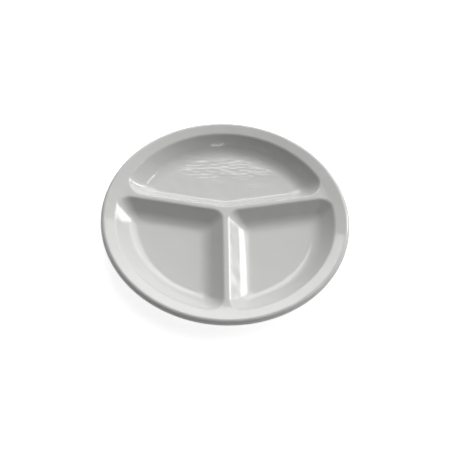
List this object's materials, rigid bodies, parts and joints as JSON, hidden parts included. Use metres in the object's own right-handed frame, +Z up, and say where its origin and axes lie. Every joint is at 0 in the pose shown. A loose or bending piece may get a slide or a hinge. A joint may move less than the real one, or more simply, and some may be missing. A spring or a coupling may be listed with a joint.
{
  "type": "divided compartment plate",
  "caption": "Round glazed dinner plate with a plain rim, one large back well and two smaller front wells parted by low rounded dividers.",
  "frame": {"origin": "centre of the foot ring's base, on the surface the plate rests on", "axes": "+Z up out of the wells, -Y from the centre along the single front divider, +X to the right as seen by the diner with the large well at the back"},
  "size_m": [0.26, 0.26, 0.0241],
  "materials": {
    "glazed_china": "glossy clear glaze on white body",
    "bare_foot": "unglazed, fine matt"
  },
  "bodies": {
    "root": {"rim": "glazed_china", "large_well_wall": "glazed_china", "left_well_wall": "glazed_china", "right_well_wall": "glazed_china", "large_well_floor": "glazed_china", "left_well_floor": "glazed_china", "right_well_floor": "glazed_china", "left_divider": "glazed_china", "right_divider": "glazed_china", "front_divider": "glazed_china", "left_divider_end": "glazed_china", "right_divider_end": "glazed_china", "front_divider_end": "glazed_china", "divider_hub": "glazed_china", "foot_ring": "bare_foot"}
  },
  "joints": []
}
